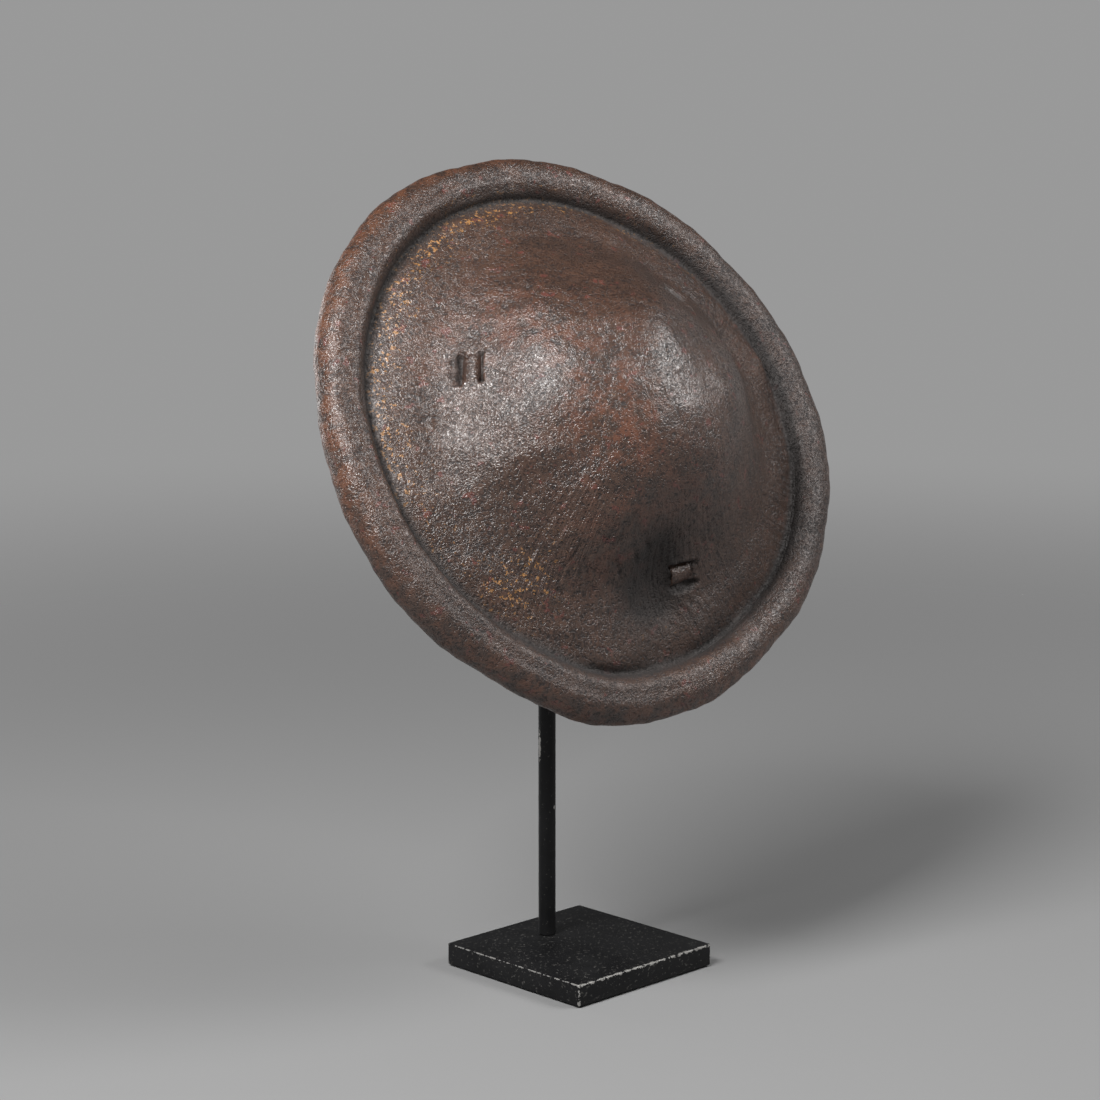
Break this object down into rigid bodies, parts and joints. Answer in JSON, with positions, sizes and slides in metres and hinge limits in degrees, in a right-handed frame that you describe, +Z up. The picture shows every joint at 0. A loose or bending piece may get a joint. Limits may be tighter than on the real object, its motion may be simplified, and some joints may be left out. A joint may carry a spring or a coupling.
{
  "type": "hide shield on a display stand",
  "caption": "Round moulded hide shield with a central boss and rolled rim, held by a leather grip, on a black steel display stand whose mount turns on its post.",
  "frame": {"origin": "centre of the underside of the felt underlay, on the surface that the stand rests on", "axes": "+Z is up; -Y is the stand's front, which the shield faces, turned 8.6 degrees towards -X; +X is to the right as seen from the front"},
  "size_m": [0.3969, 0.2137, 0.5554],
  "materials": {
    "hide": "dark brown hide, coarse grain with a satin sheen",
    "rawhide_strap": "dark worn rawhide",
    "leather_thong": "matte brown leather",
    "black_steel": "satin black paint",
    "zinc_steel": "bright zinc",
    "felt": "matte felt",
    "soft_rubber": "matte soft rubber"
  },
  "bodies": {
    "stand": {"felt_underlay": "felt", "base_plate": "black_steel", "base_screw": "zinc_steel", "post": "black_steel", "post_collar": "black_steel", "locking_screw": "black_steel"},
    "mount": {"mount_stem": "black_steel", "spine_bar": "black_steel", "hook_bar": "black_steel", "prong_right": "black_steel", "prong_left": "black_steel", "prong_sleeve_right": "soft_rubber", "prong_sleeve_left": "soft_rubber", "foot_bar": "black_steel", "arm_left": "black_steel", "arm_right": "black_steel", "arm_pad_left": "soft_rubber", "arm_pad_right": "soft_rubber"},
    "shield": {"hide_shell": "hide", "strap_right": "rawhide_strap", "strap_left": "rawhide_strap", "strap_lower": "rawhide_strap", "hub_knot": "leather_thong", "grip_sleeve": "leather_thong", "lashing_right": "leather_thong", "lashing_left": "leather_thong", "lashing_lower": "leather_thong"}
  },
  "joints": [
    {"name": "mount_swivel", "type": "hinge", "parent": "stand", "child": "mount", "pos_m": [0, 0.032, 0.3512], "axis": [0, 0, 1], "continuous": true},
    {"name": "shield_lift", "type": "slide", "parent": "mount", "child": "shield", "axis": [-0.1328, -0.8778, 0.4602], "range_m": [0, 0.15]}
  ]
}
